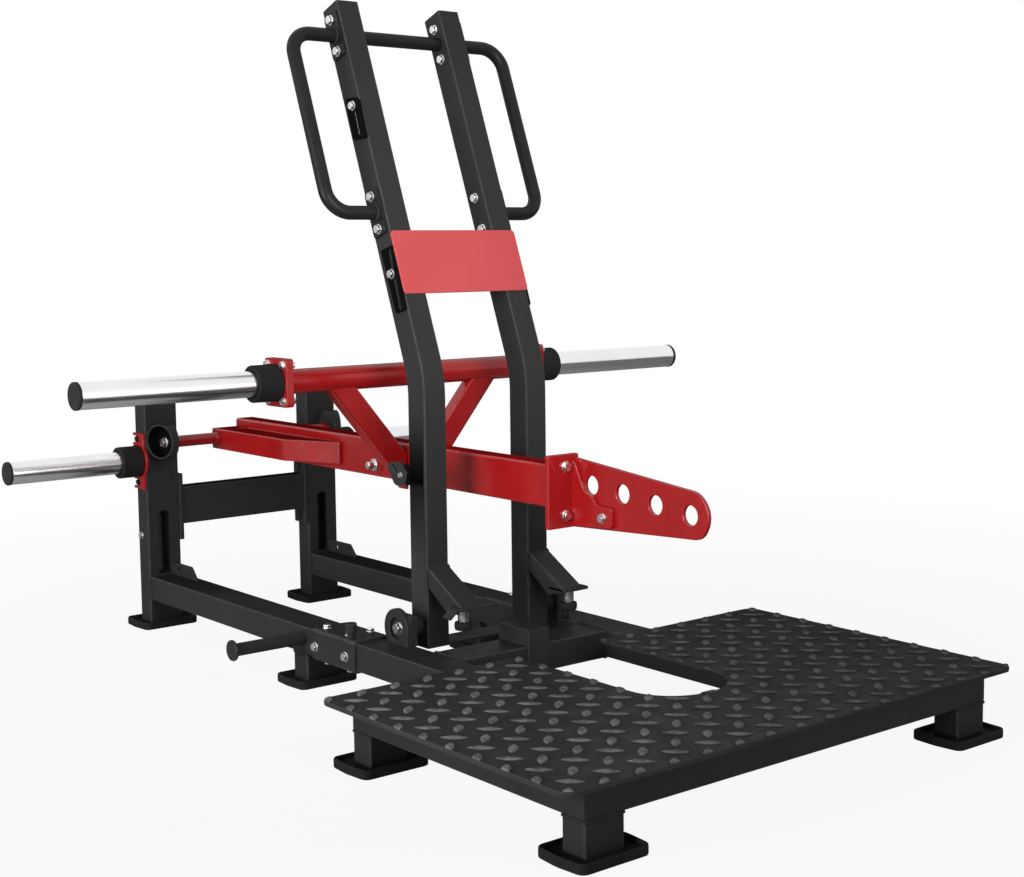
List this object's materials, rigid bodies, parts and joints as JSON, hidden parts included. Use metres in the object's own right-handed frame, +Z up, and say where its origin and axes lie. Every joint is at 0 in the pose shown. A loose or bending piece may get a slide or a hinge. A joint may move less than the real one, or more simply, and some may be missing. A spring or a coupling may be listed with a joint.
{
  "type": "belt squat machine",
  "caption": "Plate-loaded belt squat machine: chequer plate platform on a low base frame, a lever arm with loading sleeves and a drilled fin, and a tilting handle frame.",
  "frame": {"origin": "on the floor, under the middle of the machine's footprint", "axes": "+Z up; -Y towards the lifter's platform, +Y towards the lever arm's pivot; +X to the right of someone who stands on the platform and faces the handles"},
  "size_m": [1.45, 1.8612, 1.3435],
  "materials": {
    "black_paint": "satin",
    "red_paint": "gloss",
    "sleeve_steel": "polished",
    "chequer_deck": "satin",
    "rubber": "matte"
  },
  "bodies": {
    "base_frame": {"deck_plate": "chequer_deck", "platform_front_tube": "black_paint", "platform_side_tube_left": "black_paint", "platform_side_tube_right": "black_paint", "platform_back_tube_left": "black_paint", "platform_back_tube_right": "black_paint", "platform_foot_front_left": "rubber", "platform_foot_front_right": "rubber", "platform_foot_back_left": "rubber", "platform_foot_back_right": "rubber", "rail_foot_left": "rubber", "rail_foot_right": "rubber", "upright_shoe_left": "rubber", "upright_shoe_right": "rubber", "front_rail_left": "black_paint", "front_rail_right": "black_paint", "rear_rail_left": "black_paint", "rear_rail_right": "black_paint", "rail_splice_left": "black_paint", "rail_splice_right": "black_paint", "band_peg_left": "black_paint", "band_peg_right": "black_paint", "rear_upright_left": "black_paint", "rear_upright_right": "black_paint", "pivot_cup_left": "black_paint", "pivot_cup_right": "black_paint", "storage_flange_left": "red_paint", "storage_flange_right": "red_paint", "storage_horn_left": "sleeve_steel", "storage_horn_right": "sleeve_steel", "hinge_block_left": "black_paint", "hinge_block_right": "black_paint", "front_crossmember": "black_paint", "arm_stop": "black_paint", "rear_crossmember": "black_paint"},
    "lever_arm": {"arm_beam": "red_paint", "cross_tube": "red_paint", "arm_end_plate": "red_paint", "arm_fin": "red_paint", "fin_bracket": "red_paint", "arm_latch_pin": "red_paint", "fork_leg_left": "red_paint", "fork_leg_right": "red_paint", "arm_strut_left": "red_paint", "arm_strut_right": "red_paint", "horn_flange_left": "red_paint", "horn_flange_right": "red_paint", "loading_horn_left": "sleeve_steel", "loading_horn_right": "sleeve_steel"},
    "handle_frame": {"handle_tie_bar": "black_paint", "front_panel": "red_paint", "post_tie_plate": "black_paint", "post_left": "black_paint", "post_right": "black_paint", "brace_left": "black_paint", "brace_right": "black_paint", "bumper_left": "rubber", "bumper_right": "rubber", "handle_loop_left": "black_paint", "handle_loop_right": "black_paint"}
  },
  "joints": [
    {"name": "arm_pivot", "type": "hinge", "parent": "base_frame", "child": "lever_arm", "pos_m": [0, 0.81637, 0.429], "axis": [-1, 0, 0], "range_deg": [-12, 12]},
    {"name": "handle_frame_pivot", "type": "hinge", "parent": "base_frame", "child": "handle_frame", "pos_m": [0, -0.06162, 0.149], "axis": [1, 0, 0], "range_deg": [0, 16]}
  ]
}
